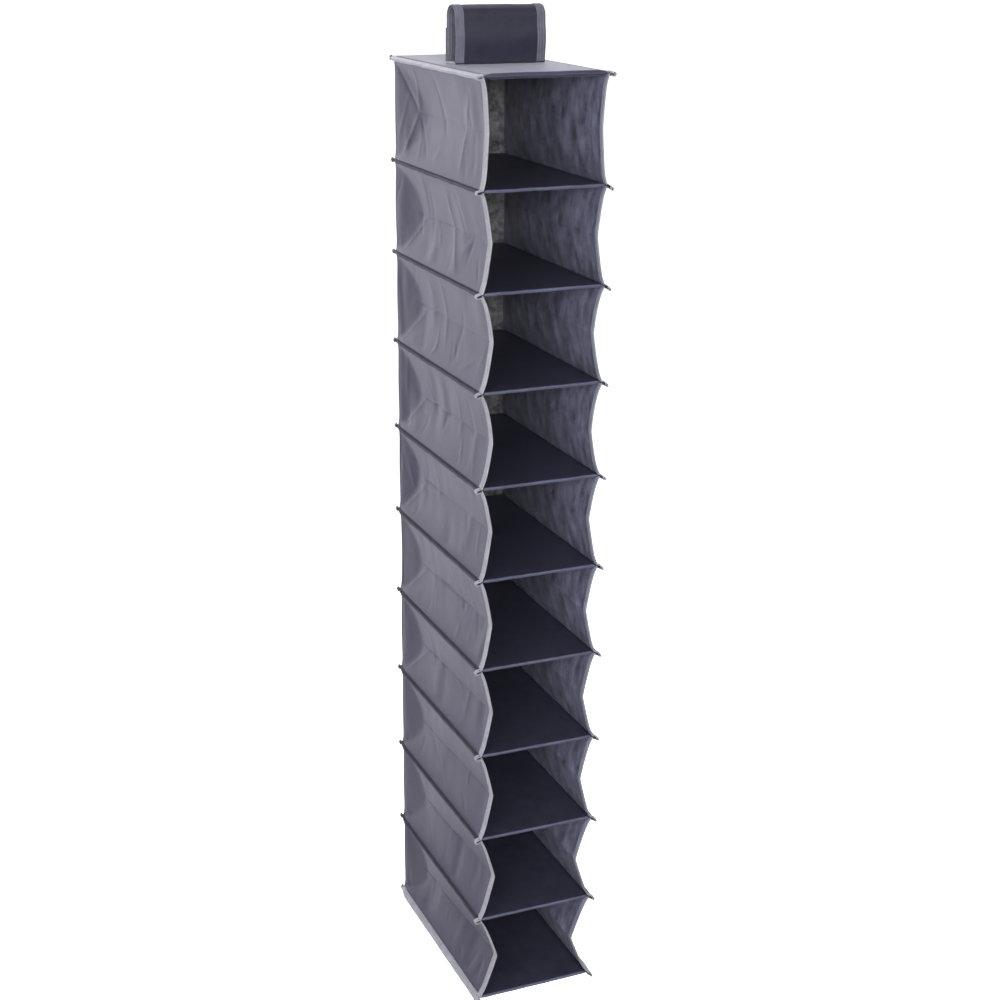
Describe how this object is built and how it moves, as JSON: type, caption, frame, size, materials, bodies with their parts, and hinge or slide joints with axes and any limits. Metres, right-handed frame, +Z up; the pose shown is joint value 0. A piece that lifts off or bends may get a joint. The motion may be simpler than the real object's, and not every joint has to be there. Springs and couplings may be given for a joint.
{
  "type": "hanging shoe organizer",
  "caption": "Hanging cloth shoe organizer: a tall stack of open pockets on stiff shelves, with a hook-and-loop strap that closes round a wardrobe rail.",
  "frame": {"origin": "the axis of the wardrobe rail, in the middle of the strap's width", "axes": "+Z up, +X to the right along the rail, the open front of the pockets faces -Y"},
  "size_m": [0.167, 0.309, 1.2683],
  "materials": {
    "side_cloth": "thin grey-violet non-woven polypropylene, matt with a slight sheen",
    "back_cloth": "thin grey non-woven polypropylene, mottled inside",
    "shelf_cloth": "dark grey-blue non-woven polypropylene over board, matt",
    "strap_cloth": "dark grey-blue non-woven polypropylene, smooth",
    "binding_tape": "light grey ribbed edge tape, stitched",
    "board": "grey-brown pressed board",
    "hook_tape": "black nylon hook tape",
    "loop_tape": "black brushed nylon loop tape"
  },
  "bodies": {
    "top_panel": {"top_cover": "shelf_cloth", "top_board": "board", "side_panels_01": "side_cloth", "back_panel_01": "back_cloth", "front_bindings_01": "binding_tape", "top_edge_bindings": "binding_tape", "strap_base": "strap_cloth"},
    "shelf_01": {"shelf_01_cover": "shelf_cloth", "shelf_01_board": "board", "side_panels_02": "side_cloth", "back_panel_02": "back_cloth", "front_bindings_02": "binding_tape"},
    "shelf_02": {"shelf_02_cover": "shelf_cloth", "shelf_02_board": "board", "side_panels_03": "side_cloth", "back_panel_03": "back_cloth", "front_bindings_03": "binding_tape"},
    "shelf_03": {"shelf_03_cover": "shelf_cloth", "shelf_03_board": "board", "side_panels_04": "side_cloth", "back_panel_04": "back_cloth", "front_bindings_04": "binding_tape"},
    "shelf_04": {"shelf_04_cover": "shelf_cloth", "shelf_04_board": "board", "side_panels_05": "side_cloth", "back_panel_05": "back_cloth", "front_bindings_05": "binding_tape"},
    "shelf_05": {"shelf_05_cover": "shelf_cloth", "shelf_05_board": "board", "side_panels_06": "side_cloth", "back_panel_06": "back_cloth", "front_bindings_06": "binding_tape"},
    "shelf_06": {"shelf_06_cover": "shelf_cloth", "shelf_06_board": "board", "side_panels_07": "side_cloth", "back_panel_07": "back_cloth", "front_bindings_07": "binding_tape"},
    "shelf_07": {"shelf_07_cover": "shelf_cloth", "shelf_07_board": "board", "side_panels_08": "side_cloth", "back_panel_08": "back_cloth", "front_bindings_08": "binding_tape"},
    "shelf_08": {"shelf_08_cover": "shelf_cloth", "shelf_08_board": "board", "side_panels_09": "side_cloth", "back_panel_09": "back_cloth", "front_bindings_09": "binding_tape"},
    "shelf_09": {"shelf_09_cover": "shelf_cloth", "shelf_09_board": "board", "side_panels_10": "side_cloth", "back_panel_10": "back_cloth", "front_bindings_10": "binding_tape"},
    "bottom_panel": {"bottom_cover": "shelf_cloth", "bottom_board": "board", "bottom_edge_bindings": "binding_tape"},
    "strap_flap": {"strap_flap": "strap_cloth", "strap_flap_bindings": "binding_tape", "loop_tape": "loop_tape"},
    "strap_tab": {"strap_tab": "strap_cloth", "hook_tape": "hook_tape"}
  },
  "joints": [
    {"name": "pocket_01_fold", "type": "slide", "parent": "top_panel", "child": "shelf_01", "axis": [0, 0, 1], "range_m": [0, 0.114], "deforming": ["side_panels_01", "back_panel_01", "front_bindings_01"]},
    {"name": "pocket_02_fold", "type": "slide", "parent": "shelf_01", "child": "shelf_02", "axis": [0, 0, 1], "range_m": [0, 0.10467], "deforming": ["side_panels_02", "back_panel_02", "front_bindings_02"]},
    {"name": "pocket_03_fold", "type": "slide", "parent": "shelf_02", "child": "shelf_03", "axis": [0, 0, 1], "range_m": [0, 0.10467], "deforming": ["side_panels_03", "back_panel_03", "front_bindings_03"]},
    {"name": "pocket_04_fold", "type": "slide", "parent": "shelf_03", "child": "shelf_04", "axis": [0, 0, 1], "range_m": [0, 0.10467], "deforming": ["side_panels_04", "back_panel_04", "front_bindings_04"]},
    {"name": "pocket_05_fold", "type": "slide", "parent": "shelf_04", "child": "shelf_05", "axis": [0, 0, 1], "range_m": [0, 0.10467], "deforming": ["side_panels_05", "back_panel_05", "front_bindings_05"]},
    {"name": "pocket_06_fold", "type": "slide", "parent": "shelf_05", "child": "shelf_06", "axis": [0, 0, 1], "range_m": [0, 0.10467], "deforming": ["side_panels_06", "back_panel_06", "front_bindings_06"]},
    {"name": "pocket_07_fold", "type": "slide", "parent": "shelf_06", "child": "shelf_07", "axis": [0, 0, 1], "range_m": [0, 0.10467], "deforming": ["side_panels_07", "back_panel_07", "front_bindings_07"]},
    {"name": "pocket_08_fold", "type": "slide", "parent": "shelf_07", "child": "shelf_08", "axis": [0, 0, 1], "range_m": [0, 0.10467], "deforming": ["side_panels_08", "back_panel_08", "front_bindings_08"]},
    {"name": "pocket_09_fold", "type": "slide", "parent": "shelf_08", "child": "shelf_09", "axis": [0, 0, 1], "range_m": [0, 0.10467], "deforming": ["side_panels_09", "back_panel_09", "front_bindings_09"]},
    {"name": "pocket_10_fold", "type": "slide", "parent": "shelf_09", "child": "bottom_panel", "axis": [0, 0, 1], "range_m": [0, 0.10467], "deforming": ["side_panels_10", "back_panel_10", "front_bindings_10"]},
    {"name": "strap_flap_open", "type": "hinge", "parent": "top_panel", "child": "strap_flap", "pos_m": [0, -0.0143, -0.0522], "axis": [1, 0, 0], "range_deg": [0, 85]},
    {"name": "strap_tab_open", "type": "hinge", "parent": "top_panel", "child": "strap_tab", "pos_m": [0, 0.0179, -0.0522], "axis": [-1, 0, 0], "range_deg": [0, 85]}
  ]
}
